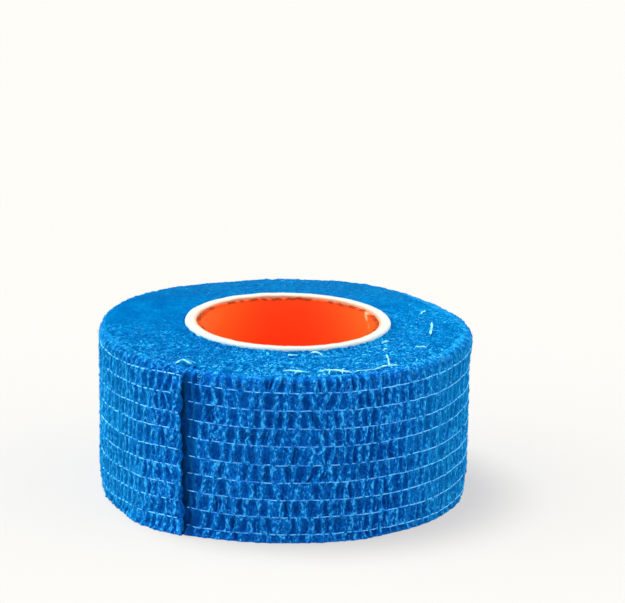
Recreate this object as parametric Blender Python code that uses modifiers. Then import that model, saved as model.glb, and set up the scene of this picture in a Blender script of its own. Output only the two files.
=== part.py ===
"""Cohesive bandage roll: crinkled elastic cloth, wound on a short paper core.

Metres, +Z up. The origin is on the floor under the middle of the roll, and the
front of the roll faces -Y. Three pieces: the wound cloth, the paper tube that it
is wound on, and the coloured paper ply that lines the tube.
"""
import math

import bpy
from mathutils import Vector

MM = 0.001

# Driving dimensions
CLOTH_WIDTH = 25.0 * MM
ROLL_RADIUS = 28.2 * MM
CORE_OUTER_RADIUS = 15.75 * MM
CORE_WALL = 1.8 * MM
CORE_PROUD = 0.5 * MM
LINING_THICKNESS = 0.3 * MM
LINING_INSET = 0.3 * MM
PIECE_GAP = 0.3 * MM
CORE_CENTRE = Vector((0.52 * MM, 0.60 * MM, 0.0))

# The elastic threads run round the roll and part its side into bands
THREADS = 9
THREAD_PITCH = 2.745 * MM
LOWEST_THREAD = 1.30 * MM
THREAD_GROOVE = 0.22 * MM

# The puckers between the threads are upright ribs, a ridge and a pit each
RIBS = 106
RIB_HEIGHT = 0.34 * MM
RIM_RIB_SHARE = 0.6
PINCHED_RIB_SHARE = 0.3
RIB_CREASE_ANGLE = math.radians(30)

# The cut end of the cloth, as an angle from the front towards the right
CUT_AZIMUTH = math.radians(-30.6)
TURN_GROWTH = 0.25 * MM
FLAP_LIFT_TOP = 0.60 * MM
FLAP_LIFT_FLOOR = 1.45 * MM
FLAP_START = 0.925
FLAP_FULL = 0.965
CUT_FACE_ANGLE = math.radians(0.35)
CUT_EASING_COLUMNS = 8

# Rim of the side wall: how far in from the wall, how high, and its share of rim_mm below
RIM_SECTION = (
    # inset_mm, height_mm, rim_share
    (2.00, 25.00, 1.00),
    (1.10, 24.82, 0.75),
    (0.32, 24.45, 0.45),
    (0.04, 23.90, 0.38),
)
FOOT_SECTION = (
    # inset_mm, height_mm
    (0.00, 0.65),
    (0.10, 0.22),
    (0.35, 0.00),
)

# How the roll is out of round: degrees from the front towards the right
OUT_OF_ROUND = (
    # azimuth_deg, wall_mm, rim_mm
    (-180, -0.25, -0.10),
    (-160, -0.65, -0.30),
    (-150, -0.45, -0.15),
    (-136, 0.15, 0.45),
    (-122, 0.15, 0.50),
    (-105, -0.10, 0.60),
    (-90, -0.25, 0.40),
    (-60, -0.15, 0.10),
    (-30, 0.20, 0.00),
    (0, 0.10, 0.00),
    (30, 0.25, 0.00),
    (50, 0.45, 0.00),
    (72, 0.10, 0.30),
    (88, 0.00, 0.95),
    (102, -0.10, 0.10),
    (115, -0.45, -0.25),
    (128, -0.30, -0.20),
    (142, -0.25, -0.10),
    (156, 0.10, 0.10),
)
RIM_DEPTH = 3.5 * MM

ROLL_STEPS = 2 * RIBS
CORE_STEPS = 72
MERGE_DISTANCE = 0.00001
TURN = 2.0 * math.pi


def clear_scene():
    for thing in list(bpy.data.objects):
        bpy.data.objects.remove(thing, do_unlink=True)


def new_collection(name):
    collection = bpy.data.collections.new(name)
    bpy.context.scene.collection.children.link(collection)
    return collection


def new_material(name, colour, roughness):
    material = bpy.data.materials.new(name)
    material.use_nodes = True
    shader = material.node_tree.nodes["Principled BSDF"]
    shader.inputs["Base Color"].default_value = (*colour, 1.0)
    shader.inputs["Roughness"].default_value = roughness
    shader.inputs["Metallic"].default_value = 0.0
    return material


def smooth_step(value):
    value = min(max(value, 0.0), 1.0)
    return value * value * (3.0 - 2.0 * value)


def turned_object(name, section, steps, collection):
    """Turn a closed section, which runs down its outer side first, about +Z."""
    mesh = bpy.data.meshes.new(name)
    points = [(radius, 0.0, height) for radius, height in section]
    edges = [(i, (i + 1) % len(points)) for i in range(len(points))]
    mesh.from_pydata(points, edges, [])
    turned = bpy.data.objects.new(name, mesh)
    collection.objects.link(turned)
    screw = turned.modifiers.new("turn", "SCREW")
    screw.axis = "Z"
    screw.angle = TURN
    screw.steps = steps
    screw.render_steps = steps
    screw.use_merge_vertices = True
    screw.merge_threshold = MERGE_DISTANCE
    screw.use_smooth_shade = True
    return turned


def thread_heights():
    return [LOWEST_THREAD + i * THREAD_PITCH for i in range(THREADS)]


def cloth_section():
    """Half section of the wound cloth: rim, threads and band crests, foot, then the bore."""
    bore = CORE_OUTER_RADIUS + PIECE_GAP
    section = [(bore, CLOTH_WIDTH)]
    section += [(ROLL_RADIUS - inset * MM, height * MM) for inset, height, _ in RIM_SECTION]
    heights = thread_heights()
    for index in reversed(range(THREADS)):
        section.append((ROLL_RADIUS, heights[index]))
        if index > 0:
            section.append((ROLL_RADIUS, heights[index] - THREAD_PITCH / 2))
    section += [(ROLL_RADIUS - inset * MM, height * MM) for inset, height in FOOT_SECTION]
    section.append((bore, 0.0))
    return section


def out_of_round(azimuth):
    """Radial offsets (wall, rim) read smoothly from the table, round the whole roll."""
    degrees = (math.degrees(azimuth) + 180.0) % 360.0 - 180.0
    rows = OUT_OF_ROUND + ((OUT_OF_ROUND[0][0] + 360, *OUT_OF_ROUND[0][1:]),)
    for before, after in zip(rows, rows[1:]):
        if before[0] <= degrees <= after[0]:
            blend = smooth_step((degrees - before[0]) / (after[0] - before[0]))
            return tuple((a + (b - a) * blend) * MM for a, b in zip(before[1:], after[1:]))
    raise ValueError("the out-of-round table has a gap")


def rim_share(height):
    """Share of the rim's offset at a height: the rim's own rows, then fading down the wall."""
    for _, row_height, share in RIM_SECTION:
        if height >= row_height * MM - MERGE_DISTANCE:
            return share
    lowest_share = RIM_SECTION[-1][2]
    depth = RIM_SECTION[-1][1] * MM - height
    return lowest_share * (1.0 - smooth_step(depth / RIM_DEPTH))


def spiral_growth(turn_share, height):
    """How much further out the outer turn is, from just past the cut end round to it."""
    drop = 1.0 - height / CLOTH_WIDTH
    flap = FLAP_LIFT_TOP + (FLAP_LIFT_FLOOR - FLAP_LIFT_TOP) * drop
    raised = smooth_step((turn_share - FLAP_START) / (FLAP_FULL - FLAP_START))
    return TURN_GROWTH * turn_share + flap * raised


def rib_relief(turn_share, height):
    """Ridges and pits between the threads, pinched in at each thread."""
    wave = math.cos(RIBS * TURN * turn_share)
    if height > LOWEST_THREAD + (THREADS - 1) * THREAD_PITCH + MERGE_DISTANCE:
        return RIM_RIB_SHARE * RIB_HEIGHT / 2 * wave
    phase = (height - LOWEST_THREAD) / THREAD_PITCH
    pinch = math.cos(math.pi * phase) ** 2
    rib_share = 1.0 - (1.0 - PINCHED_RIB_SHARE) * pinch
    return RIB_HEIGHT / 2 * wave * rib_share - THREAD_GROOVE * pinch


def eased_share(turn_share):
    """Draw the last columns together, so that the face at the cut end is steep."""
    last_gap = 1.0 / ROLL_STEPS
    reach = last_gap * CUT_EASING_COLUMNS
    draw = last_gap - CUT_FACE_ANGLE / TURN
    return turn_share + draw * smooth_step((turn_share - (1.0 - last_gap) + reach) / reach)


def shape_wound_cloth(mesh):
    """Move the turned points to the wound form: spiral, cut end, ribs and thread grooves."""
    bore = CORE_OUTER_RADIUS + PIECE_GAP
    for vertex in mesh.vertices:
        x, y, height = vertex.co
        radius = math.hypot(x, y)
        column = round(math.atan2(y, x) / TURN * ROLL_STEPS) % ROLL_STEPS
        turn_share = column / ROLL_STEPS
        azimuth = CUT_AZIMUTH + eased_share(turn_share) * TURN
        outward = Vector((math.sin(azimuth), -math.cos(azimuth), 0.0))
        up = Vector((0.0, 0.0, height))
        if radius < bore + MERGE_DISTANCE:
            vertex.co = CORE_CENTRE + outward * radius + up
            continue
        wall, rim = out_of_round(azimuth)
        relief = rib_relief(turn_share, height) if height > MERGE_DISTANCE else 0.0
        radius += wall + rim * rim_share(height)
        radius += spiral_growth(turn_share, height) + relief
        vertex.co = outward * radius + up


def build_wound_cloth(collection):
    guide = turned_object("cloth_guide", cloth_section(), ROLL_STEPS, collection)
    bpy.context.view_layer.update()
    evaluated = guide.evaluated_get(bpy.context.evaluated_depsgraph_get())
    mesh = bpy.data.meshes.new_from_object(evaluated)
    bpy.data.objects.remove(guide, do_unlink=True)
    shape_wound_cloth(mesh)
    roll = bpy.data.objects.new("bandage_roll", mesh)
    collection.objects.link(roll)
    mesh.shade_smooth()
    mesh.set_sharp_from_angle(angle=RIB_CREASE_ANGLE)
    mesh.materials.append(new_material("blue_cohesive_cloth", (0.010, 0.140, 0.520), 0.85))
    return roll


def build_core_tube(collection):
    """Plain board tube, a little proud of the cloth at the top and level with it below."""
    outer = CORE_OUTER_RADIUS
    inner = CORE_OUTER_RADIUS - CORE_WALL
    top = CLOTH_WIDTH + CORE_PROUD
    edge = 0.15 * MM
    section = [
        (outer - edge, top),
        (outer, top - edge),
        (outer, 0.0),
        (inner, 0.0),
        (inner, top - edge),
        (inner + edge, top),
    ]
    tube = turned_object("core_tube", section, CORE_STEPS, collection)
    tube.location = CORE_CENTRE
    tube.data.materials.append(new_material("white_core_board", (0.930, 0.930, 0.920), 0.75))
    return tube


def build_core_lining(collection):
    """Coloured inner ply of the tube, just short of its two ends."""
    outer = CORE_OUTER_RADIUS - CORE_WALL - PIECE_GAP
    inner = outer - LINING_THICKNESS
    top = CLOTH_WIDTH + CORE_PROUD - LINING_INSET
    section = [(outer, top), (outer, LINING_INSET), (inner, LINING_INSET), (inner, top)]
    lining = turned_object("core_lining", section, CORE_STEPS, collection)
    lining.location = CORE_CENTRE
    lining.data.materials.append(new_material("orange_core_paper", (0.980, 0.060, 0.012), 0.6))
    return lining


def main():
    clear_scene()
    parts = new_collection("cohesive_bandage_roll")
    build_wound_cloth(parts)
    build_core_tube(parts)
    build_core_lining(parts)


main()
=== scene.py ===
"""Looks of the cohesive bandage roll: puckered cloth, elastic threads, fibres and paper core.

Shapes are worked out in millimetres in the row frame, +Z up and the front of the
roll towards -Y, and become metres where a mesh is made. A place round the roll is a
turn share: 0 at the cut end of the cloth, growing anticlockwise as seen from above,
to 1 at the lip of the cut end again, one layer of cloth further out.
"""
import math

import bpy
import numpy as np
from mathutils import Matrix, Vector


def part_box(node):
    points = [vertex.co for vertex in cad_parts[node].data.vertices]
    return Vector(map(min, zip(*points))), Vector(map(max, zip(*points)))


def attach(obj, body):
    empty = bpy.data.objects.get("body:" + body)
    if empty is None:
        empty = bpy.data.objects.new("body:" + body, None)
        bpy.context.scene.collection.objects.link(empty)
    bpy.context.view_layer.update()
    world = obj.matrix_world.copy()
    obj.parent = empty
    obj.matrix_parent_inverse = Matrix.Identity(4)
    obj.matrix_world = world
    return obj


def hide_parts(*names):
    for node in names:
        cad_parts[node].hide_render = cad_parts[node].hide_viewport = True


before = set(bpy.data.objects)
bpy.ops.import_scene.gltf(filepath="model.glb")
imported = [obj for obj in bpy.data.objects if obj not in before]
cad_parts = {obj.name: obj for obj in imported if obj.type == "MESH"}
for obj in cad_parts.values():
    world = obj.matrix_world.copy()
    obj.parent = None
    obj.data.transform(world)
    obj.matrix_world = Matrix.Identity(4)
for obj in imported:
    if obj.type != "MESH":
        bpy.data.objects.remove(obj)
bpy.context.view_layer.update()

MM = 0.001
TURN = 2.0 * math.pi

# ---- sizes from the frame
ROLL_BOX = [np.array(corner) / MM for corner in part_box("bandage_roll")]
TUBE_BOX = [np.array(corner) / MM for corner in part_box("core_tube")]
LINING_BOX = [np.array(corner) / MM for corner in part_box("core_lining")]
CLOTH_WIDTH = ROLL_BOX[1][2]
CORE_CENTRE = (TUBE_BOX[0] + TUBE_BOX[1])[:2] / 2.0
CORE_RADIUS = (TUBE_BOX[1][0] - TUBE_BOX[0][0]) / 2.0
CORE_TOP = TUBE_BOX[1][2]
CORE_WALL = 1.8
LINING_RADIUS = (LINING_BOX[1][0] - LINING_BOX[0][0]) / 2.0

# ---- form of the wound cloth
ROLL_RADIUS = 28.2
CIRCUMFERENCE = TURN * ROLL_RADIUS
CUT_AZIMUTH = math.radians(-30.6)
CUT_SKEW = 0.60
TURN_GROWTH = 0.25
FLAP_LIFT_TOP = 0.64
FLAP_LIFT_FLOOR = 0.88
FLAP_LIFT_RIM = 0.12
FLAP_START = 0.925
FLAP_FULL = 0.965
TUCK_DEPTH = 2.6
TUCK_DIP = 0.38
TUCK_SPAN = 2.6
PAINTED_SHADOW_SPAN = 1.75
COLUMNS = 1250

# How the roll is out of round, by the angle from the front towards the right
OUT_OF_ROUND = (
    # azimuth_deg, wall_mm, rim_mm
    (-180, -0.25, -0.60),
    (-160, -0.65, -0.75),
    (-150, -0.45, -0.25),
    (-136, 0.15, 0.20),
    (-122, 0.15, 0.35),
    (-105, -0.20, 0.60),
    (-90, -0.38, 0.15),
    (-60, -0.15, 0.10),
    (-30, 0.20, 0.00),
    (0, 0.10, 0.00),
    (30, 0.25, 0.00),
    (50, 0.45, 0.00),
    (72, 0.10, 0.30),
    (88, 0.00, 0.95),
    (102, -0.10, 0.10),
    (115, -0.45, -0.60),
    (128, -0.30, -0.75),
    (142, -0.25, -0.05),
    (156, 0.10, 0.05),
    (180, -0.25, -0.60),
)

# Section of the upper rim and of the foot, from the wall inwards
RIM_SECTION = (
    # depth_mm, inset_mm, rim_share, relief_share
    (1.35, 0.01, 0.37, 1.00),
    (1.15, 0.03, 0.37, 1.00),
    (0.96, 0.06, 0.38, 1.00),
    (0.78, 0.11, 0.39, 1.00),
    (0.60, 0.19, 0.41, 1.00),
    (0.44, 0.31, 0.45, 1.00),
    (0.30, 0.47, 0.50, 1.00),
    (0.19, 0.67, 0.58, 0.95),
    (0.11, 0.90, 0.70, 0.80),
    (0.05, 1.17, 0.80, 0.55),
    (0.01, 1.50, 0.90, 0.25),
    (0.00, 1.90, 1.00, 0.00),
)
RIM_DEPTH = RIM_SECTION[0][0]
RIM_SHARE = RIM_SECTION[0][2]
FOOT_SECTION = (
    # height_mm, inset_mm, relief_share
    (0.00, 0.10, 0.40),
    (0.09, 0.02, 0.65),
    (0.22, 0.00, 0.90),
    (0.42, 0.00, 1.00),
    (0.66, 0.00, 1.00),
    (0.92, 0.00, 1.00),
)

# How the lowest part of the wall splays out, or draws in, round the roll
FOOT_FLARE = (
    # turn share, flare_mm
    (-0.02, 1.20),
    (0.00, 1.20),
    (0.04, 0.75),
    (0.085, 0.60),
    (0.14, 0.65),
    (0.155, 0.80),
    (0.19, 0.25),
    (0.25, 0.22),
    (0.28, 0.20),
    (0.33, -0.50),
    (0.40, -0.10),
    (0.75, -0.10),
    (0.835, -0.65),
    (0.875, -0.15),
    (0.93, 0.60),
    (0.97, 0.75),
    (1.00, 0.70),
)
FLARE_HEIGHT = 1.5
DRAW_IN_HEIGHT = 4.0
RIM_FADE = 3.5

# The cut end's lip, as seen from above: on past the end, then back under the flap
LIP_SECTION = (
    # ahead_mm, below_mm
    (0.09, 0.05),
    (0.16, 0.16),
    (0.17, 0.30),
    (0.13, 0.44),
    (0.02, 0.56),
    (-0.25, 0.66),
    (-0.90, 0.74),
    (-2.40, 0.76),
)
LIP_WAVES = (
    # size_mm, reach_mm
    (5.5, 0.28),
    (1.9, 0.15),
    (0.8, 0.14),
)
LIP_PINCH = 0.26
LIP_COLUMNS_ON_RING = 3
UNDER_DROP = 0.8

# ---- elastic threads
THREAD_HEIGHTS = (1.20, 3.85, 6.45, 9.20, 11.80, 14.75, 17.35, 20.20, 22.95)
THREAD_RADIUS = 0.082
THREAD_SEAT = 0.02
THREAD_DIP = 0.32
THREAD_COVER = 0.20
THREAD_POINTS = 1100
THREAD_SIDES = 4

# ---- puckers
RIB_PITCH = 1.78
TIGHT_RIB_PITCH = 1.42
TIGHT_FROM = 0.86
PIT_DEPTH = 0.46
TROUGH_DEPTH = 0.14
RIDGE_HEIGHT = 0.15
ROWS_IN_BAND = (0.0, 0.05, 0.13, 0.22, 0.31, 0.40, 0.50, 0.60, 0.69, 0.78, 0.87, 0.95)
LAYERS = 13
CORE_RISE = 0.05
CORE_CLIMB = 0.36
CORE_NIP = 0.16
LINING_DROP = 0.30


# ==== small tools
def smooth(value):
    """Soft step from 0 to 1."""
    value = np.clip(value, 0.0, 1.0)
    return value * value * (3.0 - 2.0 * value)


def rise(value, start, over):
    """Soft step from 0 to 1, from start on and as long as over."""
    return smooth((value - start) / over)


def fall(value, start, over):
    """The same step, from 1 down to 0."""
    return 1.0 - smooth((value - start) / over)


def between(value, rise_from, rise_over, fall_from, fall_over):
    """Soft hump: up from 0 to 1 from one value on, and down again from another."""
    return rise(value, rise_from, rise_over) * fall(value, fall_from, fall_over)


def with_height(plan, height):
    """Points from plan places and their heights."""
    return np.concatenate([plan, height[..., None]], axis=-1)


def cell_value(cells, seed):
    """A steady random number from 0 to 1 for each whole-numbered cell."""
    mixed = cells[..., 0] * 73856093 ^ cells[..., 1] * 19349663
    mixed = mixed ^ cells[..., 2] * 83492791 ^ seed * 2654435761
    mixed = ((mixed ^ (mixed >> 13)) & 0xFFFFFFFF) * 1274126177
    return ((mixed ^ (mixed >> 16)) & 0xFFFF) / 65535.0


def soft_noise(points, cell, seed):
    """Smooth noise from -1 to 1 over points, with lumps about one cell across."""
    scaled = np.asarray(points, dtype=float) / cell
    base = np.floor(scaled).astype(np.int64)
    part = smooth(scaled - base)
    total = np.zeros(scaled.shape[:-1])
    for corner in range(8):
        step = np.array([corner & 1, corner >> 1 & 1, corner >> 2 & 1])
        weight = np.prod(np.where(step == 1, part, 1.0 - part), axis=-1)
        total += weight * cell_value(base + step, seed)
    return 2.0 * total - 1.0


def line_noise(places, cell, seed):
    """The same noise along one line."""
    return soft_noise(np.asarray(places)[..., None] * np.array([1.0, 0.0, 0.0]), cell, seed)


def outward(azimuth):
    """Unit vectors that point away from the roll's axis, in plan."""
    return np.stack([np.sin(azimuth), -np.cos(azimuth)], axis=-1)


def azimuth_of(share):
    return CUT_AZIMUTH + share * TURN


# ==== form of the wound cloth
def out_of_round(azimuth):
    """Radial offsets (wall, rim) read smoothly from the table."""
    degrees = (np.degrees(azimuth) + 180.0) % 360.0 - 180.0
    table = np.array(OUT_OF_ROUND, dtype=float)
    row = np.clip(np.searchsorted(table[:, 0], degrees, side="right") - 1, 0, len(table) - 2)
    gap = table[row + 1, 0] - table[row, 0]
    blend = rise(degrees, table[row, 0], gap)[..., None]
    offsets = table[row, 1:] * (1.0 - blend) + table[row + 1, 1:] * blend
    return offsets[..., 0], offsets[..., 1]


def flap_share(share):
    """0 round most of the roll, 1 where the cut end stands off the turn below it."""
    return rise(share, FLAP_START, FLAP_FULL - FLAP_START)


def wall_radius(share, height):
    """Radius of the cloth's side wall, without puckers."""
    wall, rim = out_of_round(azimuth_of(share))
    drop = 1.0 - height / CLOTH_WIDTH
    flap = FLAP_LIFT_TOP + (FLAP_LIFT_FLOOR - FLAP_LIFT_TOP) * drop
    flap = flap * (1.0 - (1.0 - FLAP_LIFT_RIM) * near_rim(height))
    below_rim = CLOTH_WIDTH - RIM_DEPTH - height
    rim_here = rim * RIM_SHARE * (1.0 - smooth(below_rim / RIM_FADE))
    growth = TURN_GROWTH * np.clip(share, 0.0, 1.0) + flap * flap_share(share)
    return ROLL_RADIUS + wall + rim_here + growth + foot_flare(share, height)


def near_rim(height):
    """1 at the upper rim, 0 from a little way below it."""
    return 1.0 - smooth((CLOTH_WIDTH - 0.3 - height) / 2.2)


def foot_flare(share, height):
    """How far the lowest part of the wall splays out (or draws in) where it stands."""
    table = np.array(FOOT_FLARE)
    flare = np.interp(share, table[:, 0], table[:, 1])
    reach = np.where(flare > 0.0, FLARE_HEIGHT, DRAW_IN_HEIGHT)
    return flare * (1.0 - smooth(height / reach))


def rim_height(share):
    """Height of the cloth's upper edge, which wanders a little."""
    return CLOTH_WIDTH - 0.08 + 0.05 * line_noise(share * CIRCUMFERENCE, 9.0, 11)


def thread_height(index, share):
    """Height of one elastic thread: raised on both sides of the cut end, then low for a stretch."""
    start = 0.28 * (1.0 - smooth(share / 0.09)) * (index / (len(THREAD_HEIGHTS) - 1) * 0.7 + 0.3)
    start = start - 0.20 * between(share, 0.09, 0.08, 0.28, 0.10)
    end = 0.50 * rise(share, 0.80, 0.19) + 0.78 * rise(share, 0.915, 0.085)
    wander = 0.10 * line_noise(share * CIRCUMFERENCE, 14.0, 31 + index)
    return THREAD_HEIGHTS[index] + start + end + wander


# ==== puckers
class Band:
    """The ridges and lens-shaped pits between two threads, from the cut end round the roll."""

    def __init__(self, index):
        random = np.random.default_rng(400 + index)
        ribs = shared_ribs()
        count = len(ribs)
        offset = 0.42 * RIB_PITCH * line_noise(ribs, 9.0, 60 + index)
        self.lines = np.sort(ribs + offset + random.normal(0.0, 0.10, count) * RIB_PITCH)
        lean = np.where(random.uniform(0.0, 1.0, count) < 0.15, 0.24, 0.08)
        self.slants = random.normal(0.0, 1.0, count) * lean * RIB_PITCH
        self.bows = random.normal(0.0, 0.07, count) * RIB_PITCH
        self.widths = random.uniform(0.29, 0.47, count)
        shallow = random.uniform(0.0, 1.0, count) < 0.16
        self.depths = random.uniform(0.60, 1.25, count) * np.where(shallow, 0.4, 1.0)
        self.heights = random.uniform(0.4, 1.4, count)
        self.folded = random.uniform(0.0, 1.0, count) < 0.20
        self.seed = 900 + index

    def lines_at(self, t):
        """Arc places of the ridge lines at height t, leaning, bowed and wavering."""
        waver = np.arange(len(self.lines)) * 13.7 + 3.6 * t
        lines = self.lines + self.slants * (2.0 * t - 1.0) + self.bows * (1.0 - pit_opening(t))
        lines = lines + 0.16 * line_noise(waver, 1.0, self.seed)
        return np.maximum.accumulate(lines + np.arange(len(lines)) * 1e-6)

    def relief(self, place, t):
        """Relief in mm and ridge share (0 in a pit, 1 on a crest) along one row."""
        opening = pit_opening(t)
        lines = self.lines_at(t)
        cell = np.clip(np.searchsorted(lines, place) - 1, 0, len(lines) - 2)
        gap = np.maximum(lines[cell + 1] - lines[cell], 0.4)
        middle = (lines[cell] + lines[cell + 1]) / 2.0
        off = np.abs(place - middle)
        reach = gap * self.widths[cell] * (0.30 + 0.70 * opening) * 1.12
        pit = fall(off / reach, 0.30, 0.70)
        fold = np.exp(-(((place - middle - 0.12) / 0.13) ** 2)) * self.folded[cell]
        pit = pit * (1.0 - 0.85 * fold)
        trough = fall(off / (0.5 * gap), 0.45, 0.40)
        across = np.clip((place - lines[cell]) / gap, 0.0, 1.0)
        crest = self.heights[cell] * (1.0 - across) + self.heights[cell + 1] * across
        swell = 1.0 + 0.6 * line_noise(cell * 5.3 + 4.0 * t, 1.0, self.seed + 50)
        crest = RIDGE_HEIGHT * crest * swell * (1.0 - 0.6 * trough)
        depth = PIT_DEPTH * self.depths[cell] * opening
        share = 1.0 - 0.92 * pit * (0.15 + 0.85 * opening) * np.clip(self.depths[cell], 0.0, 1.0)
        trough = trough * (1.0 - 0.6 * opening)
        return crest - TROUGH_DEPTH * trough - depth * pit, share - 0.10 * trough


def pit_opening(t):
    """How open a pit is at height t of its band, from 0 to 1."""
    return 0.20 + 0.80 * math.sin(math.pi * min(max(t, 0.0), 1.0)) ** 0.55


def shared_ribs():
    """Arc places of the ribs, which all bands share before each wanders off on its own."""
    random = np.random.default_rng(7)
    places = []
    arc = -4.0 * RIB_PITCH
    while arc < CIRCUMFERENCE + 4.0 * RIB_PITCH:
        tight = rise(arc / CIRCUMFERENCE, TIGHT_FROM, 0.05)
        pitch = RIB_PITCH + (TIGHT_RIB_PITCH - RIB_PITCH) * tight
        places.append(arc)
        arc += pitch * float(np.clip(random.normal(1.0, 0.14), 0.62, 1.45))
    return np.array(places)


# ==== side wall
# The upper face and the rim round it share the seed of their grain, so that the two meet
FACE_SEED = 41
UNDER_FACE_SEED = 51


def side_rows():
    """Rows of the side wall from the floor to the rim.

    Each row is (kind, band, t): in a band between two threads, in the foot or in the rim.
    """
    rows = [("foot", 0, index) for index in range(len(FOOT_SECTION))]
    last_band = len(THREAD_HEIGHTS)
    for band in range(1, last_band):
        rows += [("band", band, t) for t in ROWS_IN_BAND]
    rows += [("band", last_band, t) for t in (0.0, 0.10)]
    rows += [("rim", last_band, index) for index in range(len(RIM_SECTION))]
    return rows


def row_place(kind, band, where, shares, top):
    """Heights of one row round the roll, its place t in the band, and its row of the section."""
    if kind == "foot":
        height_here, inset, relief_share = FOOT_SECTION[where]
        height = np.full_like(shares, height_here)
        return height, height_here / THREAD_HEIGHTS[0], inset, RIM_SHARE, relief_share
    if kind == "band":
        low = thread_height(band - 1, shares)
        high = thread_height(band, shares) if band < len(THREAD_HEIGHTS) else top
        return low + (high - low) * where, where, 0.0, RIM_SHARE, 1.0
    depth, inset, rim_share, relief_share = RIM_SECTION[where]
    room = top - thread_height(band - 1, shares) - 0.12
    height = top - depth * np.minimum(room / RIM_DEPTH, 1.0)
    t = 0.10 + 0.72 * (1.0 - depth / (RIM_DEPTH + 0.3))
    return height, t, inset, rim_share, relief_share


def puckers(bands, kind, band, where, t, arc, height):
    """Relief and crest of one row. A row on a thread shares them with the band below."""
    plane = np.stack([arc, height, np.zeros_like(arc)], axis=-1)
    place = arc + 0.15 * soft_noise(plane, 0.9, 15) + 0.08 * soft_noise(plane, 0.45, 16)
    relief, crest = bands[band].relief(place, t)
    if kind == "band" and where == 0.0:
        relief_below, crest_below = bands[band - 1].relief(place, 1.0)
        relief = (relief + relief_below) / 2.0
        crest = (crest + crest_below) / 2.0
    return relief, crest


def lip_reach(shares, height):
    """How far ahead of a straight cut the cut end runs: ragged, askew, held back by each thread."""
    waves = sum(reach * line_noise(height, size, 77 + int(10 * size)) for size, reach in LIP_WAVES)
    heights = [thread_height(index, 1.0) for index in range(len(THREAD_HEIGHTS))]
    pinch = sum(np.exp(-(((height - thread) / 0.55) ** 2)) for thread in heights)
    waves = waves + CUT_SKEW * (1.0 - height / CLOTH_WIDTH) ** 3 - 0.25 * CUT_SKEW
    waves = waves - LIP_PINCH * pinch + 0.35 * near_rim(height)
    return waves * rise(shares, 0.985, 0.015)


def side_grid(bands):
    """Points, ridge shares and outward directions of the side wall, as row by column arrays."""
    shares = np.linspace(-TUCK_DEPTH / CIRCUMFERENCE, 1.0, COLUMNS + 1)
    arc = shares * CIRCUMFERENCE
    top = rim_height(shares)
    calm = 1.0 - 0.28 * between(shares, 0.13, 0.12, 0.60, 0.12)
    calm -= 0.15 * rise(shares, TIGHT_FROM, 0.06)
    right = between(shares, 0.12, 0.08, 0.42, 0.10)
    turned_away = smooth(0.10 - 2.0 * np.cos(azimuth_of(shares) - math.radians(25.0)))
    tucked = fall(arc, 0.5, TUCK_SPAN)
    _, rim = out_of_round(azimuth_of(shares))
    points, crests = [], []
    for kind, band, where in side_rows():
        height, t, inset, rim_share, relief_share = row_place(kind, band, where, shares, top)
        relief, crest = puckers(bands, kind, band, where, t, arc, height)
        radius = wall_radius(shares, height) - inset * (1.0 - 0.6 * turned_away)
        radius += rim * (rim_share - RIM_SHARE)
        relief = relief * relief_share * calm * (1.0 - 0.45 * tucked)
        if kind == "rim":
            relief = relief * (1.25 - 0.87 * turned_away) * (1.0 - 0.50 * right)
            height = height + relief * 0.30 - 0.25 * turned_away
        radius += relief
        radius -= TUCK_DIP * tucked * (1.0 - near_rim(height)) * smooth(height / 2.0)
        azimuth = azimuth_of(shares) + lip_reach(shares, height) / ROLL_RADIUS
        points.append(with_height(outward(azimuth) * radius[:, None], height))
        # Painted shadow: the crests are darkened in the strip that the cut end's flap overhangs
        painted_flap_shadow = 1.0 - smooth((arc - PAINTED_SHADOW_SPAN - 0.75 * near_rim(height)) / 0.8)
        if kind == "rim":
            painted_flap_shadow = painted_flap_shadow * rise(top - height, 0.15, 0.4)
        crest = 0.5 + (crest - 0.5) * relief_share * calm
        # Painted shade: the crests are a little darker for a short way beside the cut end
        crest = crest - 0.07 * fall(shares, 0.07, 0.06)
        if kind == "rim":
            lift = 0.26 - 0.30 * rise(shares, 0.74, 0.08)
            crest = crest + lift * (1.0 - relief_share) + 0.06 * right - 0.05
        crests.append(crest * (1.0 - 0.80 * painted_flap_shadow) - 0.22 * painted_flap_shadow)
    radial = np.zeros((len(points), len(shares), 3))
    radial[..., :2] = outward(azimuth_of(shares))[None]
    points, crests = with_lumps(shares, np.array(points), np.array(crests), radial)
    return shares, points, crests, radial


def with_lumps(shares, points, crests, radial):
    """Add the crepe's fine lumps to the wall, and the cut edges' grain to its inner rim."""
    lumps = 0.09 * soft_noise(points, 3.2, 5) + 0.08 * soft_noise(points, 0.95, 6)
    lumps += 0.075 * soft_noise(points, 0.50, 8) + 0.030 * soft_noise(points, 0.28, 9)
    even = between(shares, 0.16, 0.08, 0.60, 0.12)
    points += radial * (lumps * (1.0 - 0.30 * even))[..., None]
    points[..., 2] += 0.05 * soft_noise(points, 0.6, 10) * smooth(points[..., 2])
    points[..., 2] -= UNDER_DROP * near_rim(points[..., 2]) * smooth(-shares * CIRCUMFERENCE)
    inner_rim = np.zeros(len(points))
    inner_rim[-len(RIM_SECTION):] = [smooth(inset / 0.9) for _, inset, _, _ in RIM_SECTION]
    grain = inner_rim[:, None] * face_grain(points, FACE_SEED)
    points[..., 2] += grain
    crests += 1.1 * grain
    points[..., 2] = np.maximum(points[..., 2], 0.0)
    points[0, :, 2] = 0.0
    return points, crests


def face_grain(points, seed):
    """Height in mm of the cut fibres' grain on a flat face."""
    coarse = 0.12 * soft_noise(points, 0.62, seed + 2) + 0.19 * soft_noise(points, 0.36, seed + 3)
    return coarseness(points) * coarse


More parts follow.
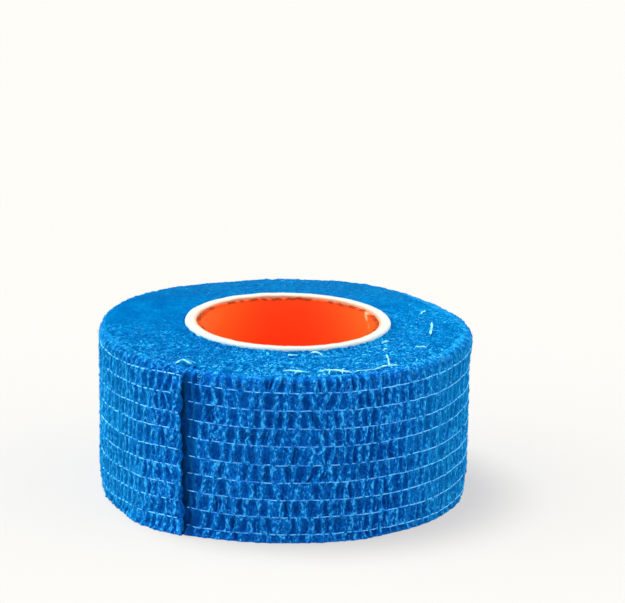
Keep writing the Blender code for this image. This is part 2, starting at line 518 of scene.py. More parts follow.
def with_lip(points, crests, radial):
    """Add the columns that turn the cut end's lip inwards and back under the flap."""
    last = points[:, -1]
    normal = radial[:, -1]
    ahead = np.stack([-normal[:, 1], normal[:, 0], np.zeros(len(normal))], axis=1)
    all_points, all_crests = [points], [crests]
    for ahead_mm, below_mm in LIP_SECTION:
        column = last + ahead * ahead_mm - normal * below_mm
        column = column + ahead * (0.09 * soft_noise(column, 0.8, 17))[:, None]
        column = column + normal * (0.07 * soft_noise(column, 0.45, 18))[:, None]
        column[:, 2] -= UNDER_DROP * near_rim(column[:, 2]) * rise(below_mm, 0.3, 0.4)
        column[:, 2] = np.maximum(column[:, 2], 0.0)
        all_points.append(column[:, None])
        # Painted shade: under the flap the crests fade to the darkest tone
        all_crests.append((crests[:, -1] * (1.0 - smooth(below_mm / 0.5)))[:, None])
    all_points.append(points[:, :1])
    all_crests.append(crests[:, :1])
    return np.concatenate(all_points, axis=1), np.concatenate(all_crests, axis=1)


# ==== flat faces
def face_grid(ring, shares, rows, level, sign, seed):
    """A face of the roll, from the ring where the side wall ends in to the core.

    sign is 1 for the upper face and -1 for the lower one, which lies on the floor.
    """
    azimuth = np.arctan2(ring[:, 0], -ring[:, 1])
    inner = CORE_CENTRE + outward(azimuth) * (CORE_RADIUS + 0.04)
    out_share = (np.linspace(0.0, 1.0, rows) ** 0.94)[:, None]
    plan = inner[None] * (1.0 - out_share[..., None]) + ring[None, :, :2] * out_share[..., None]
    rim_part = rise(out_share, 0.88, 0.12)
    height = level * (1.0 - rim_part) + ring[None, :, 2] * rim_part
    if sign > 0:
        climb = CORE_CLIMB + core_tilt(azimuth)
        height = height + climb * (1.0 - smooth(out_share / 0.07))
        height = height - CORE_NIP * (1.0 - smooth(out_share / 0.018))
    points = with_height(plan, height)
    layer = out_share * (LAYERS + shares[None]) - shares[None]
    turn = np.floor(layer) + shares[None]
    wavering = layer + 0.10 * soft_noise(points, 1.5, 4)
    turn_level = 0.06 * line_noise(turn * 5.0, 1.0, seed)
    coarse = coarseness(points)
    grain = 0.05 * soft_noise(points, 1.4, seed + 1) + face_grain(points, seed)
    groove = 0.06 * (1.0 - np.abs(np.sin(math.pi * wavering)) ** 0.5) * (0.45 + 0.55 * coarse)
    fade = smooth((1.0 - out_share) / 0.04)
    lift = (grain + turn_level - groove) * fade
    if sign < 0:
        lift = -0.8 * np.maximum(-lift, 0.0)
    points[..., 2] += sign * lift
    # Painted shade: the face is darker on the left, towards the back and next to the core
    painted_face_shade = 0.20 * smooth((-2.0 - plan[..., 0]) / 14.0) + 0.34 * (1.0 - smooth(out_share / 0.04))
    painted_face_shade += 0.14 * rise(plan[..., 1], 5.0, 12.0)
    blotches = 0.24 * soft_noise(points, 2.8, seed + 4) * (1.0 - 0.5 * coarse)
    blotches += (0.05 * coarse + 0.08) * soft_noise(points, 1.0, seed + 5)
    tone = 0.62 - painted_face_shade + blotches + 1.1 * (grain - groove)
    # Painted sheen: the face is paler towards the back
    dull = 0.46 * rise(plan[..., 1], 10.0, 12.0)
    return points, np.clip(tone, 0.0, 1.0), coarse, dull


def coarseness(points):
    """How rough the cut edges on a face are: most at the front, half as much at the back and left."""
    x, y = points[..., 0], points[..., 1]
    rough = smooth((14.0 - y + 0.3 * x) / 24.0)
    right = rise(x, 8.0, 12.0) * smooth((y + 16.0) / 10.0)
    front = smooth((-15.0 - y) / 6.0)
    left_edge = rise(np.hypot(x, y), 20.0, 6.0) * smooth((-9.0 - x) / 6.0) * smooth((6.0 - y) / 10.0)
    back = rise(y, 11.0, 8.0)
    return 0.34 + 0.66 * rough * (1.0 - 0.44 * right) + 0.16 * front + 0.20 * left_edge + 0.20 * back


# ==== meshes
def into_scene(name, data):
    thing = bpy.data.objects.new(name, data)
    bpy.context.scene.collection.objects.link(thing)
    return thing


def new_object(name, vertices, faces, **values):
    """An object from points in mm. Each of values names an attribute, a number for each point."""
    mesh = bpy.data.meshes.new(name)
    mesh.from_pydata((np.reshape(vertices, (-1, 3)) * MM).tolist(), [], faces)
    for attribute, numbers in values.items():
        layer = mesh.attributes.new(attribute, "FLOAT", "POINT")
        layer.data.foreach_set("value", np.asarray(numbers, dtype=np.float32).ravel())
    mesh.validate()
    mesh.shade_smooth()
    return into_scene(name, mesh)


def grid_faces(rows, columns, closed, flip=False):
    """Quads of a row by column grid of points; closed joins the last column to the first."""
    row = np.arange(rows - 1)[:, None]
    column = np.arange(columns if closed else columns - 1)[None]
    after = (column + 1) % columns
    corners = [row * columns + column, row * columns + after]
    corners += [(row + 1) * columns + after, (row + 1) * columns + column]
    quads = np.stack(np.broadcast_arrays(*corners), axis=-1).reshape(-1, 4)
    if flip:
        quads = quads[:, ::-1]
    return quads.tolist()


def unit(vectors):
    return vectors / (np.linalg.norm(vectors, axis=-1, keepdims=True) + 1e-12)


def tubes(paths, normals, radii, sides):
    """Points and faces of many closed tubes at once.

    paths and normals are tube by point by xyz arrays, radii is tube by point.
    """
    count, length, _ = paths.shape
    along = unit(np.gradient(paths, axis=1))
    across = unit(np.cross(along, normals))
    upright = np.cross(across, along)
    angles = np.arange(sides) * TURN / sides
    ring = across[:, :, None] * np.cos(angles)[:, None] + upright[:, :, None] * np.sin(angles)[:, None]
    points = paths[:, :, None] + ring * radii[:, :, None, None]
    wall = np.roll(grid_faces(length, sides, closed=True, flip=True), 1, axis=1)
    starts = np.arange(count) * length * sides
    quads = (wall[None] + starts[:, None, None]).reshape(-1, 4)
    first = starts[:, None] + np.arange(sides)[None]
    last = first[:, ::-1] + (length - 1) * sides
    return points, quads.tolist() + first.tolist() + last.tolist()


# ==== materials
def add_node(tree, kind, values=(), **settings):
    """A new node with its own settings and the values of its unlinked sockets."""
    node = tree.nodes.new(kind)
    for name, value in settings.items():
        setattr(node, name, value)
    for name, value in dict(values).items():
        node.inputs[name].default_value = value
    return node


def new_material(name, roughness, specular=0.0, sheen=0.0):
    """A material, its node tree and its shader. The sheen is a pale blue-green nap."""
    material = bpy.data.materials.new(name)
    material.use_nodes = True
    shader = material.node_tree.nodes["Principled BSDF"]
    shader.inputs["Roughness"].default_value = roughness
    shader.inputs["Specular IOR Level"].default_value = specular
    shader.inputs["Sheen Weight"].default_value = sheen
    shader.inputs["Sheen Tint"].default_value = (0.040, 0.74, 0.70, 1.0)
    shader.inputs["Sheen Roughness"].default_value = 0.65
    return material, material.node_tree, shader


def glow(shader, colour, strength):
    shader.inputs["Emission Color"].default_value = (*colour, 1.0)
    shader.inputs["Emission Strength"].default_value = strength


def object_place(tree):
    return add_node(tree, "ShaderNodeTexCoord").outputs["Object"]


def attribute(tree, name):
    """The number that each point of the mesh holds under this name."""
    return add_node(tree, "ShaderNodeAttribute", attribute_name=name).outputs["Fac"]


def noise_node(tree, coordinates, size_mm, detail):
    """A noise whose lumps are about size_mm across."""
    values = {"Scale": 1.0 / (size_mm * MM), "Detail": detail}
    node = add_node(tree, "ShaderNodeTexNoise", values)
    tree.links.new(coordinates, node.inputs["Vector"])
    return node.outputs["Fac"]


def ramp(tree, source, stops):
    """A colour ramp over source; stops are (place, linear colour)."""
    node = add_node(tree, "ShaderNodeValToRGB")
    elements = node.color_ramp.elements
    while len(elements) < len(stops):
        elements.new(0.5)
    for element, (place, colour) in zip(elements, stops):
        element.position = place
        element.color = (*colour, 1.0)
    tree.links.new(source, node.inputs["Fac"])
    return node.outputs["Color"]


def paint(tree, shader, source, stops):
    """Base colour by a ramp over source."""
    tree.links.new(ramp(tree, source, stops), shader.inputs["Base Color"])


def math_node(tree, operation, first, second, clamp=False):
    node = add_node(tree, "ShaderNodeMath", operation=operation, use_clamp=clamp)
    for place, value in enumerate((first, second)):
        if isinstance(value, (int, float)):
            node.inputs[place].default_value = value
        else:
            tree.links.new(value, node.inputs[place])
    return node.outputs["Value"]


def bump(tree, shader, layers):
    """Chain bump nodes; layers are (height output, distance in mm, strength)."""
    normal = None
    for source, distance_mm, strength in layers:
        node = add_node(tree, "ShaderNodeBump", {"Strength": strength, "Distance": distance_mm * MM})
        tree.links.new(source, node.inputs["Height"])
        if normal is not None:
            tree.links.new(normal, node.inputs["Normal"])
        normal = node.outputs["Normal"]
    tree.links.new(normal, shader.inputs["Normal"])


def open_sum(tree, parts, offset):
    """offset plus each output times its weight."""
    total = offset
    for output, weight in parts:
        scaled = math_node(tree, "MULTIPLY", output, weight)
        total = math_node(tree, "ADD", scaled, total)
    return total


def weighted_sum(tree, parts, offset):
    """The same sum, held to 0 to 1."""
    return math_node(tree, "ADD", open_sum(tree, parts, offset), 0.0, clamp=True)


def tangle(tree, coordinates, size_mm, sharpness):
    """Thin curling lines, 1 on a line and 0 off it, like tangled fibres."""
    noise = noise_node(tree, coordinates, size_mm, 1.0)
    off = math_node(tree, "ABSOLUTE", math_node(tree, "SUBTRACT", noise, 0.5), 0.0)
    return math_node(tree, "SUBTRACT", 1.0, math_node(tree, "MULTIPLY", off, sharpness), clamp=True)


def cloth_material(name, stops, dull_colour, ridge_gain, grain_gain, painted_glint_gain, sheen):
    """Nonwoven crepe: colour and bump by ridge share, whose dark pits are painted shade, tangled
    fibres, grain and painted glints, and a paler tint for painted sheen.
    """
    material, tree, shader = new_material(name, 0.9, sheen=sheen)
    stretched = add_node(tree, "ShaderNodeMapping", {"Scale": (1.0, 1.0, 0.6)})
    tree.links.new(object_place(tree), stretched.inputs["Vector"])
    place = stretched.outputs["Vector"]
    ridge = attribute(tree, "ridge")
    wide_web = tangle(tree, place, 1.10, 11.0)
    fine_web = tangle(tree, place, 0.60, 9.0)
    grain = noise_node(tree, place, 0.36, 3.0)
    patches = noise_node(tree, place, 4.0, 1.5)
    # Painted glints: small bright flecks where the fibres catch the light
    painted_glint = math_node(tree, "SUBTRACT", noise_node(tree, place, 0.27, 1.0), 0.60, clamp=True)
    fine_parts = ((grain, grain_gain), (wide_web, 0.16), (fine_web, 0.16), (painted_glint, painted_glint_gain))
    fine = open_sum(tree, fine_parts, -0.5 * grain_gain - 0.10 - 0.02 * painted_glint_gain)
    fine = math_node(tree, "MULTIPLY", fine, attribute(tree, "coarse"))
    fine = math_node(tree, "MULTIPLY", fine, open_sum(tree, ((ridge, 0.75),), 0.52))
    parts = ((ridge, ridge_gain), (fine, 1.0), (patches, 0.22))
    tone = weighted_sum(tree, parts, 0.38 - 0.6 * ridge_gain)
    # Painted sheen: a paler tint is mixed in where the painted sheen attribute is high
    blend = add_node(tree, "ShaderNodeMix", data_type="RGBA")
    blend.inputs["B"].default_value = (*dull_colour, 1.0)
    tree.links.new(attribute(tree, "dull"), blend.inputs["Factor"])
    tree.links.new(ramp(tree, tone, stops), blend.inputs["A"])
    tree.links.new(blend.outputs["Result"], shader.inputs["Base Color"])
    bump(tree, shader, ((grain, 0.14, 0.6), (fine_web, 0.04, 0.5), (wide_web, 0.04, 0.5)))
    return material


def fibre_material():
    """Single fibres, from the cloth's blue to nearly white."""
    material, tree, shader = new_material("loose_fibres", 0.7)
    shade = noise_node(tree, object_place(tree), 0.9, 1.0)
    stops = (
        (0.35, (0.001, 0.12, 0.54)),
        (0.52, (0.010, 0.29, 0.84)),
        (0.62, (0.055, 0.50, 0.98)),
        (0.72, (0.150, 0.72, 1.00)),
    )
    paint(tree, shader, shade, stops)
    return material


def thread_material(name, light, dark):
    """Fine twisted elastic thread, lighter where its tone is higher. It glows a little, a painted
    glint.
    """
    material, tree, shader = new_material(name, 0.8)
    # Painted glints: the thread glows a little
    glow(shader, (0.12, 0.45, 1.0), 0.18)
    place = object_place(tree)
    twist = noise_node(tree, place, 0.35, 2.0)
    stretch = noise_node(tree, place, 1.1, 1.0)
    shade = weighted_sum(tree, ((twist, 0.5), (stretch, 0.7), (attribute(tree, "tone"), 1.0)), -0.10)
    paint(tree, shader, shade, ((0.36, dark), (0.62, light)))
    bump(tree, shader, ((twist, 0.03, 0.4),))
    return material


def board_material():
    """White core board, with a painted bluish reflection of the cloth at its outer edge, and painted
    shade and a painted warm reflection of the coloured ply at its inner edge.
    """
    material, tree, shader = new_material("white_core_board", 0.7, 0.1)
    # Painted light: the board glows a little
    glow(shader, (0.80, 0.97, 1.0), 0.08)
    pulp = noise_node(tree, object_place(tree), 0.6, 3.0)
    painted_tint_and_pulp = weighted_sum(tree, ((attribute(tree, "tone"), 1.0), (pulp, 0.3)), -0.15)
    stops = (
        (0.00, (0.420, 0.620, 0.680)),
        (0.07, (0.520, 0.640, 0.650)),
        (0.17, (0.495, 0.532, 0.515)),
        (0.40, (0.560, 0.530, 0.460)),
        (0.62, (0.590, 0.430, 0.300)),
        (1.00, (0.520, 0.220, 0.110)),
    )
    paint(tree, shader, painted_tint_and_pulp, stops)
    bump(tree, shader, ((pulp, 0.05, 0.3),))
    return material


def lining_material():
    """Orange paper: painted dark shade where tone is 0, redder, then more orange, and pale where it is
    1.
    """
    material, tree, shader = new_material("orange_core_paper", 0.6, 0.03)
    # Painted light: the paper glows a little
    glow(shader, (1.0, 0.055, 0.012), 0.10)
    place = object_place(tree)
    mottle = noise_node(tree, place, 4.0, 2.0)
    pulp = noise_node(tree, place, 0.35, 2.0)
    dye_and_shading = weighted_sum(tree, ((attribute(tree, "tone"), 1.0), (mottle, 0.06)), -0.03)
    stops = (
        (0.00, (0.20, 0.035, 0.006)),
        (0.25, (0.97, 0.095, 0.018)),
        (0.50, (0.98, 0.165, 0.020)),
        (1.00, (0.98, 0.60, 0.34)),
    )
    paint(tree, shader, dye_and_shading, stops)
    bump(tree, shader, ((pulp, 0.03, 0.25),))
    return material


# ==== pieces
def dress(piece, material, node=None):
    """Give a piece its material and its body, and hide the node that it is shown for."""
    piece.data.materials.append(material)
    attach(piece, "root")
    if node:
        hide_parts(node)


CORE_STEPS = 360
CORE_ANGLES = np.arange(CORE_STEPS) * TURN / CORE_STEPS

# Section of the board tube: up its outside and over the edge, then down its inside. Its warm share sets
# the board's painted tint, from a painted bluish reflection of the cloth at 0 to painted shade and a
# warm reflection of the lining at 1
TUBE_OUTSIDE = (
    # inset_mm, depth_mm, warm share
    (0.00, CORE_TOP, 0.20),
    (0.00, 2.00, 0.00),
    (0.00, 0.24, 0.00),
    (0.05, 0.10, 0.08),
    (0.13, -0.02, 0.17),
    (0.30, -0.07, 0.22),
)
TUBE_INSIDE = (
    # outset_mm, depth_mm, warm share
    (0.90, -0.06, 0.25),
    (0.55, -0.03, 0.40),
    (0.30, 0.00, 0.62),
    (0.12, 0.03, 0.90),
    (0.00, 0.12, 1.00),
    (0.00, 0.60, 1.00),
    (0.00, CORE_TOP, 0.20),
)

# Depths of the lining's rows below its upper edge, and where its seam is
LINING_ROWS = (0.0, 0.12, 0.26, 0.45, 0.75, 1.0, 1.3, 1.6, 2.0, 2.6, 5.0, 12.0)
SEAM_AZIMUTH = math.radians(116.0)


def turned(name, section, tones, wobble, seed):
    """A closed ring turned about the core's axis from a section of (radius, height).

    tones has a row for each point of the section, and one column or CORE_STEPS columns.
    Heights above the middle follow the core's slightly tilted, hand-cut upper end.
    """
    section = np.array(section, dtype=float)
    ring = np.zeros((len(section), CORE_STEPS, 3))
    ring[..., :2] = CORE_CENTRE + outward(CORE_ANGLES)[None] * section[:, :1, None]
    ring[..., 2] = section[:, 1][:, None]
    upper = smooth(ring[..., 2] / CORE_TOP * 2.0 - 1.0)
    edge = CORE_ANGLES * CORE_RADIUS
    ragged = line_noise(edge, 1.3, seed) + 0.6 * line_noise(edge, 0.5, seed + 1)
    ring[..., 2] += upper * (core_tilt(CORE_ANGLES) + wobble * ragged)
    faces = np.array(grid_faces(len(section) + 1, CORE_STEPS, closed=True))
    faces = (faces % (len(section) * CORE_STEPS)).tolist()
    tones = np.broadcast_to(tones, ring.shape[:2])
    return new_object(name, ring, faces, tone=tones)


def core_tilt(azimuth):
    """How much higher the core's slightly tilted upper edge is."""
    return CORE_RISE + 0.10 * np.cos(azimuth) - 0.08 * np.sin(azimuth)


def build_core():
    """Board tube with a slightly soft cut edge, and its orange inner ply, which ends lower."""
    inner = CORE_RADIUS - CORE_WALL
    tube = [(CORE_RADIUS - inset, CORE_TOP - depth, warm) for inset, depth, warm in TUBE_OUTSIDE]
    tube += [(inner + outset, CORE_TOP - depth, warm) for outset, depth, warm in TUBE_INSIDE]
    tube = np.array(tube)
    board = turned("core_tube_board", tube[:, :2], tube[:, 2:], 0.03, 21)
    dress(board, board_material(), "core_tube")
    outer = inner - 0.02
    hollow = LINING_RADIUS - 0.3
    top = CORE_TOP - LINING_DROP
    heights = [top - depth for depth in LINING_ROWS] + [LINING_BOX[0][2]]
    section = [(hollow, height) for height in heights] + [(outer, height) for height in heights[::-1]]
    inside = lining_tones(top - np.array(heights))
    lining = turned("core_lining_paper", section, np.concatenate([inside, inside[::-1]]), 0.13, 23)
    dress(lining, lining_material(), "core_lining")


def lining_tones(depths):
    """Tone of the lining by row and column: painted shade at its cut edge, sides made more orange as
    painted light, and a pale seam.
    """
    depth = depths[:, None]
    sideways = np.abs(np.sin(CORE_ANGLES))
    side = smooth(sideways * 1.3 - 0.2)
    # Painted light: the sides of the lining are made more orange, the left side most
    dye_and_shading = 0.25 + 0.16 * side + 0.12 * side * (np.sin(CORE_ANGLES) < 0.0)
    # Painted shade: the lining's cut edge is dark, most of all at its far sides
    painted_edge_shade = smooth(0.75 + 0.8 * line_noise(CORE_ANGLES * CORE_RADIUS, 0.9, 61))
    painted_edge_shade = np.maximum(painted_edge_shade, 0.85 * rise(sideways, 0.72, 0.16))
    dye_and_shading = dye_and_shading * (1.0 - 0.95 * painted_edge_shade * fall(depth, 0.05, 0.3))
    off = CORE_ANGLES - (SEAM_AZIMUTH - 0.020 * (depth - 0.3))
    seam = np.exp(-((off / (0.048 - 0.014 * depth.clip(0.0, 1.2))) ** 2))
    seam = seam * fall(depth, 0.85, 0.35)
    seam = seam + 0.40 * np.exp(-(((off + 0.05) / 0.035) ** 2)) * rise(depth, 1.1, 0.3)
    seam = seam * fall(depth, 2.0, 0.6)
    return dye_and_shading + (0.97 - dye_and_shading) * 0.90 * seam


# Colours of the cloth from the depth of a pit up to a crest or a cut fibre, where the darker pits are
# painted shade, and the paler tint of its painted sheen
WALL_STOPS = (
    (0.02, (0.0002, 0.026, 0.236)),
    (0.30, (0.0002, 0.058, 0.366)),
    (0.58, (0.0010, 0.118, 0.546)),
    (0.80, (0.0070, 0.218, 0.755)),
    (0.97, (0.0500, 0.480, 0.980)),
)
WALL_PAINTED_SHEEN = (0.002, 0.225, 0.500)
FACE_STOPS = (
    (0.02, (0.0002, 0.068, 0.256)),
    (0.34, (0.0003, 0.122, 0.358)),
    (0.60, (0.0010, 0.190, 0.464)),
    (0.82, (0.0090, 0.304, 0.620)),
    (0.98, (0.0800, 0.610, 0.930)),
)
FACE_PAINTED_SHEEN = (0.007, 0.136, 0.334)


def build_cloth(points, crests, top, bottom):
    """The wound cloth: its side wall in two halves, with the closing strip under the flap."""
    wall_cloth = cloth_material("crepe_cloth_side", WALL_STOPS, WALL_PAINTED_SHEEN,
                                ridge_gain=0.48, grain_gain=2.1, painted_glint_gain=1.9, sheen=0.38)
    face_cloth = cloth_material("crepe_cloth_face", FACE_STOPS, FACE_PAINTED_SHEEN,
                                ridge_gain=0.60, grain_gain=2.5, painted_glint_gain=1.3, sheen=0.0)
    halfway = points.shape[1] // 2
    halves = (
        # name, columns, node that it is shown for
        ("cloth_side_1", slice(0, halfway + 1), "bandage_roll"),
        ("cloth_side_2", slice(halfway, None), None),
    )
    for name, columns, node in halves:
        part = points[:, columns]
        x = part[..., 0]
        by_rim = smooth((part[..., 2] - CLOTH_WIDTH + 1.0) / 0.8)
        side_rim = (smooth((-12.0 - x) / 5.0) + 0.9 * rise(x, 14.0, 6.0)) * by_rim
        coarse = 1.0 - by_rim * (1.0 - coarseness(part)) + 0.45 * side_rim * coarseness(part)
        # Painted sheen: the wall is paler where it turns away to the left and right, and a little on
        # the rim there
        dull = 0.36 * rise(np.abs(x), 16.0, 10.0) + 0.08 * smooth((-16.0 - x) / 8.0) + 0.06 * side_rim
        faces = grid_faces(*x.shape, closed=False)
        wall = new_object(name, part, faces, ridge=crests[:, columns], coarse=coarse, dull=dull)
        dress(wall, wall_cloth, node)
    for name, face, flip in (("cloth_top", top, False), ("cloth_bottom", bottom, True)):
        grid, tone, coarse, dull = face
        faces = grid_faces(*tone.shape, closed=True, flip=flip)
        face = new_object(name, grid, faces, ridge=tone, coarse=coarse, dull=dull)
        dress(face, face_cloth)


def build_threads(bands):
    """The nine elastic threads, which dip out of sight under the ridges."""
    shares = np.linspace(0.004, 0.9985, THREAD_POINTS)
    arc = shares * CIRCUMFERENCE
    plan = outward(azimuth_of(shares))
    drawn_out = between(shares, 0.12, 0.10, 0.62, 0.18)
    buried = 0.22 * fall(arc, 1.3, 1.0)
    paths = []
    for index in range(len(THREAD_HEIGHTS)):
        height = thread_height(index, shares)
        lines = bands[index + 1].lines_at(0.0)
        nearest = np.searchsorted(lines, arc)
        gap = np.minimum(np.abs(arc - lines[nearest - 1]), np.abs(lines[nearest] - arc))
        cover = THREAD_COVER * (0.75 + 0.45 * line_noise(arc, 6.0, 150 + index))
        cover = cover * (1.0 - 0.62 * drawn_out)
        covered = np.exp(-((gap / cover) ** 2))
        height = height + 0.06 * line_noise(arc, 1.1, 90 + index)
        radius = wall_radius(shares, height) + THREAD_SEAT + 0.05 * drawn_out - buried
        radius -= THREAD_DIP * (1.0 - 0.35 * drawn_out) * covered
        radius += 0.05 * line_noise(arc, 1.9, 120 + index)
        paths.append(with_height(plan * radius[:, None], height))
    normals = np.tile(with_height(plan, np.zeros_like(arc)), (len(paths), 1, 1))
    radii = np.tile(THREAD_RADIUS * (1.0 + 0.08 * drawn_out), (len(paths), 1))
    # Painted light: the threads are lighter round the right and back, and on the left before the cut
    # end
    painted_light = np.tile(0.08 * drawn_out + 0.08 * rise(shares, 0.8, 0.1), len(paths))
    painted_light = np.repeat(painted_light, THREAD_SIDES)
    points, faces = tubes(np.array(paths), normals, radii, THREAD_SIDES)
    material = thread_material("white_elastic_thread", (0.19, 0.70, 1.00), (0.008, 0.16, 0.70))
    dress(new_object("elastic_threads", points, faces, tone=painted_light), material)


class Surface:
    """A grid of points that can be read anywhere between its rows and columns."""

    def __init__(self, points, normals, tones, density):
        self.points = points
        self.normals = normals
        self.tones = tones
        self.density = density
        self.rows, self.columns = tones.shape

    def read(self, grid, row, column):
        """Values of one of its grids at any row and column, blended from the four next to it."""
        low_row = np.clip(np.floor(row).astype(int), 0, self.rows - 2)
        low_column = np.clip(np.floor(column).astype(int), 0, self.columns - 2)
        a = np.clip(row - low_row, 0.0, 1.0)
        b = np.clip(column - low_column, 0.0, 1.0)
        if grid.ndim == 3:
            a, b = a[..., None], b[..., None]
        lower = grid[low_row, low_column] * (1 - b) + grid[low_row, low_column + 1] * b
        upper = grid[low_row + 1, low_column] * (1 - b) + grid[low_row + 1, low_column + 1] * b
        return lower * (1 - a) + upper * a


def build_fibres(name, surface, count, row_mm, column_mm, seed, prefer, lowest_row, material):
    """Short curled fibres that lie on a surface and stand off it a little.

    The more that prefer is, the more of them lie where the surface's tone is high.
    """
    random = np.random.default_rng(seed)
    rows = random.uniform(lowest_row, surface.rows - 2, count * 3)
    columns = random.uniform(2, surface.columns - 3, count * 3)
    score = prefer * surface.read(surface.tones, rows, columns)
    score += surface.read(surface.density, rows, columns)
    keep = np.argsort(-(score + random.uniform(0, 1, len(score))))[:count]
    rows, columns = rows[keep], columns[keep]
    steps = 4
    length = random.uniform(0.35, 1.30, count)
    heading = random.uniform(0, TURN, count)
    curl = random.normal(0.0, 0.55, count)
    lift = random.uniform(0.01, 0.07, count)
    arch = random.exponential(0.05, count)
    path = np.zeros((count, steps, 3))
    normal = np.zeros((count, steps, 3))
    for step in range(steps):
        surface_point = surface.read(surface.points, rows, columns)
        surface_normal = surface.read(surface.normals, rows, columns)
        above = lift + arch * math.sin(math.pi * step / (steps - 1))
        path[:, step] = surface_point + surface_normal * above[:, None]
        normal[:, step] = surface_normal
        stride = length / (steps - 1)
        rows = rows + np.cos(heading) * stride / row_mm
        columns = columns + np.sin(heading) * stride / column_mm
        heading = heading + curl
    thin = np.array([0.5, 1.0, 1.0, 0.5])
    radii = np.minimum(0.012 + random.exponential(0.006, count), 0.034)[:, None] * thin[None]
    points, faces = tubes(path, normal, radii, 3)
    dress(new_object(name, points, faces), material)


STRAY_THREADS = (
    # plan points in mm, laid on the upper face; height of the arch in mm; thickness
    (((-15.7, -21.6), (-15.0, -20.9), (-14.4, -21.1), (-13.9, -21.9), (-13.3, -21.8)), 0.40, 1.0),
    (((0.1, -24.5), (1.1, -24.8), (2.1, -25.1), (3.5, -25.0)), 0.20, 1.0),
    (((1.8, -24.7), (2.0, -25.4), (1.8, -25.9)), 0.20, 0.8),
    (((5.2, -24.6), (6.2, -24.1), (7.4, -24.2), (8.8, -24.5), (10.1, -24.6)), 0.18, 1.1),
    (((6.8, -25.6), (6.9, -24.5), (7.1, -23.6)), 0.25, 0.7),
    (((8.7, -25.3), (8.8, -24.2), (9.1, -23.1)), 0.30, 0.7),
    (((10.4, -24.5), (11.1, -23.9), (12.6, -23.6), (13.5, -22.9)), 0.08, 0.6),
    (((13.4, -22.9), (14.5, -22.1), (15.6, -21.2), (16.8, -20.4)), 0.15, 1.0),
    (((15.3, -15.5), (15.5, -18.2), (15.7, -21.1)), 0.30, 0.9),
    (((0.7, -16.4), (1.4, -16.9), (2.1, -16.4)), 0.12, 0.8),
    (((4.0, -15.4), (4.9, -15.6), (5.9, -16.4)), 0.25, 1.1),
    (((14.7, -9.7), (15.2, -9.1), (15.8, -8.3)), 0.12, 1.0),
    (((14.9, -13.2), (15.1, -12.9), (15.4, -12.5)), 0.12, 1.0),
    (((19.7, -11.3), (20.5, -11.6), (21.4, -11.3)), 0.15, 1.0),
    (((22.5, 1.8), (22.5, -0.8), (22.3, -2.9), (22.1, -4.6)), 0.22, 1.3),
    (((20.9, 6.3), (21.3, 7.3), (21.8, 8.2)), 0.12, 0.8),
)
STRANDS = 3


def smooth_route(knots, steps):
    """Points along a route through given knots, with its corners rounded."""
    places = np.linspace(0.0, len(knots) - 1.0, steps)
    route = np.stack([np.interp(places, range(len(knots)), axis) for axis in np.array(knots).T], axis=1)
    for _ in range(3):
        route[1:-1] = (route[:-2] + 2.0 * route[1:-1] + route[2:]) / 4.0
    return route


def build_stray_threads(surface_height):
    """Bits of white thread on the upper face and along its front rim, a few strands each."""
    steps = 24
    along = np.linspace(0.0, 1.0, steps)
    paths, radii = [], []
    for index, (knots, arch, thickness) in enumerate(STRAY_THREADS):
        for strand in range(STRANDS):
            seed = 200 + index * 9 + strand * 3
            route = smooth_route(knots, steps)
            path = with_height(route, surface_height + 0.12 + arch * np.sin(math.pi * along))
            for axis, sway in enumerate((0.10, 0.12, 0.07)):
                path[:, axis] += sway * thickness * line_noise(along * 7.0, 1.0, seed + axis)
            paths.append(path)
            radii.append(0.085 * thickness * np.clip(3.0 * np.sin(math.pi * along), 0.4, 1.0))
    normals = np.tile([0.0, 0.0, 1.0], (len(paths), steps, 1))
    points, faces = tubes(np.array(paths), normals, np.array(radii), 4)
    material = thread_material("stray_white_thread", (0.40, 0.90, 0.90), (0.16, 0.56, 0.70))
    dress(new_object("stray_thread_ends", points, faces), material)


# ==== studio
# The floor glows a little, so that it stays nearly white with shadows on it
FLOOR_GLOW = 0.520
FLOOR_REACH = 3000.0
FLOOR_LEVEL = -0.02

# The one lamp, as seen from the roll: its azimuth is from the front towards the right
KEY_AZIMUTH = math.radians(-126.0)
KEY_ELEVATION = math.radians(72.0)
KEY_SPREAD = math.radians(28.0)
KEY_STRENGTH = 2.8

# Brightness of the surround, and how much more there is above and to each side
SURROUND = 0.20
SURROUND_ABOVE = 0.25
SURROUND_SIDES = (
    # sign of x, share of x squared, share of x to the fourth
    (-1.0, 2.30, 0.90),
    (1.0, 1.55, 0.80),
)

# The camera that the photo fits, in metres and radians
FOCAL_PIXELS = 3411.2
PHOTO_WIDTH = 625
CAMERA_PLACE = (0.004221, -0.500, 0.17164)
CAMERA_PITCH = 0.2784
CAMERA_ROLL = 0.0161


def build_floor():
    """A plain pale floor, just under the roll."""
    corners = [(-1, -1), (1, -1), (1, 1), (-1, 1)]
    corners = [(x * FLOOR_REACH, y * FLOOR_REACH, FLOOR_LEVEL) for x, y in corners]
    floor = new_object("floor", corners, [(0, 1, 2, 3)])
    material, tree, shader = new_material("pale_floor", 0.9)
    tone = noise_node(tree, object_place(tree), 300.0, 1.0)
    stops = ((0.3, (0.259, 0.269, 0.248)), (0.7, (0.263, 0.273, 0.252)))
    paint(tree, shader, tone, stops)
    glow(shader, (1.0, 0.945, 0.940), FLOOR_GLOW)
    floor.data.materials.append(material)


def build_key_light():
    """One wide soft light from above, behind and to the left."""
    lamp = bpy.data.lights.new("key_above", "SUN")
    lamp.energy = KEY_STRENGTH
    lamp.angle = KEY_SPREAD
    light = into_scene("key_above", lamp)
    towards = Vector((math.sin(KEY_AZIMUTH), -math.cos(KEY_AZIMUTH), math.tan(KEY_ELEVATION)))
    light.location = towards.normalized() * 0.6
    light.rotation_euler = towards.to_track_quat("Z", "Y").to_euler()


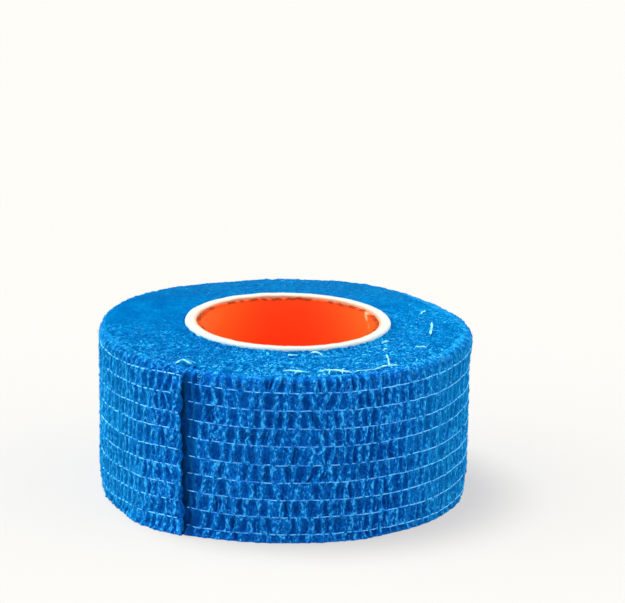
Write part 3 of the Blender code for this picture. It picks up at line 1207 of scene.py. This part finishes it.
def build_surround():
    """A white surround, brighter to both sides and a little above."""
    world = bpy.data.worlds.new("pale_surround")
    world.use_nodes = True
    tree = world.node_tree
    apart = add_node(tree, "ShaderNodeSeparateXYZ")
    tree.links.new(add_node(tree, "ShaderNodeTexCoord").outputs["Generated"], apart.inputs["Vector"])
    parts = [(math_node(tree, "MAXIMUM", apart.outputs["Z"], 0.0), SURROUND_ABOVE)]
    for sign, square_share, fourth_share in SURROUND_SIDES:
        side = math_node(tree, "MAXIMUM", math_node(tree, "MULTIPLY", apart.outputs["X"], sign), 0.0)
        square = math_node(tree, "MULTIPLY", side, side)
        parts += [(square, square_share), (math_node(tree, "MULTIPLY", square, square), fourth_share)]
    background = tree.nodes["Background"]
    tree.links.new(open_sum(tree, parts, SURROUND), background.inputs["Strength"])
    background.inputs["Color"].default_value = (1.0, 1.0, 1.0, 1.0)
    bpy.context.scene.world = world


def build_camera():
    """The camera that took the photo, as far as the roll's outlines tell."""
    lens = bpy.data.cameras.new("photo_camera")
    lens.sensor_fit = "HORIZONTAL"
    lens.sensor_width = 36.0
    lens.lens = FOCAL_PIXELS / PHOTO_WIDTH * lens.sensor_width
    camera = into_scene("photo_camera", lens)
    turn = Matrix.Rotation(math.pi / 2 - CAMERA_PITCH, 4, "X")
    roll = Matrix.Rotation(CAMERA_ROLL, 4, "Z")
    camera.matrix_world = Matrix.Translation(CAMERA_PLACE) @ turn @ roll
    bpy.context.scene.camera = camera


def build_all_fibres(side, top):
    """Loose fibres on the side wall, the upper face and the rim between them."""
    material = fibre_material()
    rim_rows = side.rows - len(RIM_SECTION) + 1
    pieces = (
        # name, surface, count, row_mm, column_mm, seed, prefer, lowest_row
        ("fibres_side_1", side, 5700, 0.22, 0.143, 500, 0.9, 1),
        ("fibres_side_2", side, 5700, 0.22, 0.143, 501, 0.9, 1),
        ("fibres_top", top, 4400, 0.156, 0.11, 520, 0.5, 1),
        ("fibres_rim", side, 2000, 0.16, 0.143, 530, 0.3, rim_rows),
    )
    for row in pieces:
        build_fibres(*row, material)


def main():
    bpy.context.scene.view_settings.view_transform = "Standard"
    build_camera()
    bands = [Band(index) for index in range(len(THREAD_HEIGHTS) + 1)]
    shares, points, crests, radial = side_grid(bands)
    side_points, side_crests = with_lip(points, crests, radial)
    open_columns = slice(int(np.searchsorted(shares, 0.0)), len(shares) + LIP_COLUMNS_ON_RING)
    ring_shares = np.concatenate([shares, np.ones(LIP_COLUMNS_ON_RING)])[open_columns]
    upper_ring = side_points[-1, open_columns]
    lower_ring = side_points[0, open_columns]
    top = face_grid(upper_ring, ring_shares, rows=78, level=CLOTH_WIDTH - 0.03, sign=1, seed=FACE_SEED)
    bottom = face_grid(lower_ring, ring_shares, rows=12, level=0.0, sign=-1, seed=UNDER_FACE_SEED)
    build_cloth(side_points, side_crests, top, bottom)
    build_threads(bands)
    build_core()
    face_points, face_tone, face_coarse, _ = top
    up = np.zeros_like(face_points)
    up[..., 2] = 1.0
    side_surface = Surface(points, radial, crests, np.zeros_like(crests))
    build_all_fibres(side_surface, Surface(face_points, up, face_tone, 0.8 * face_coarse))
    build_stray_threads(CLOTH_WIDTH)
    build_floor()
    build_surround()
    build_key_light()
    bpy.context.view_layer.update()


main()
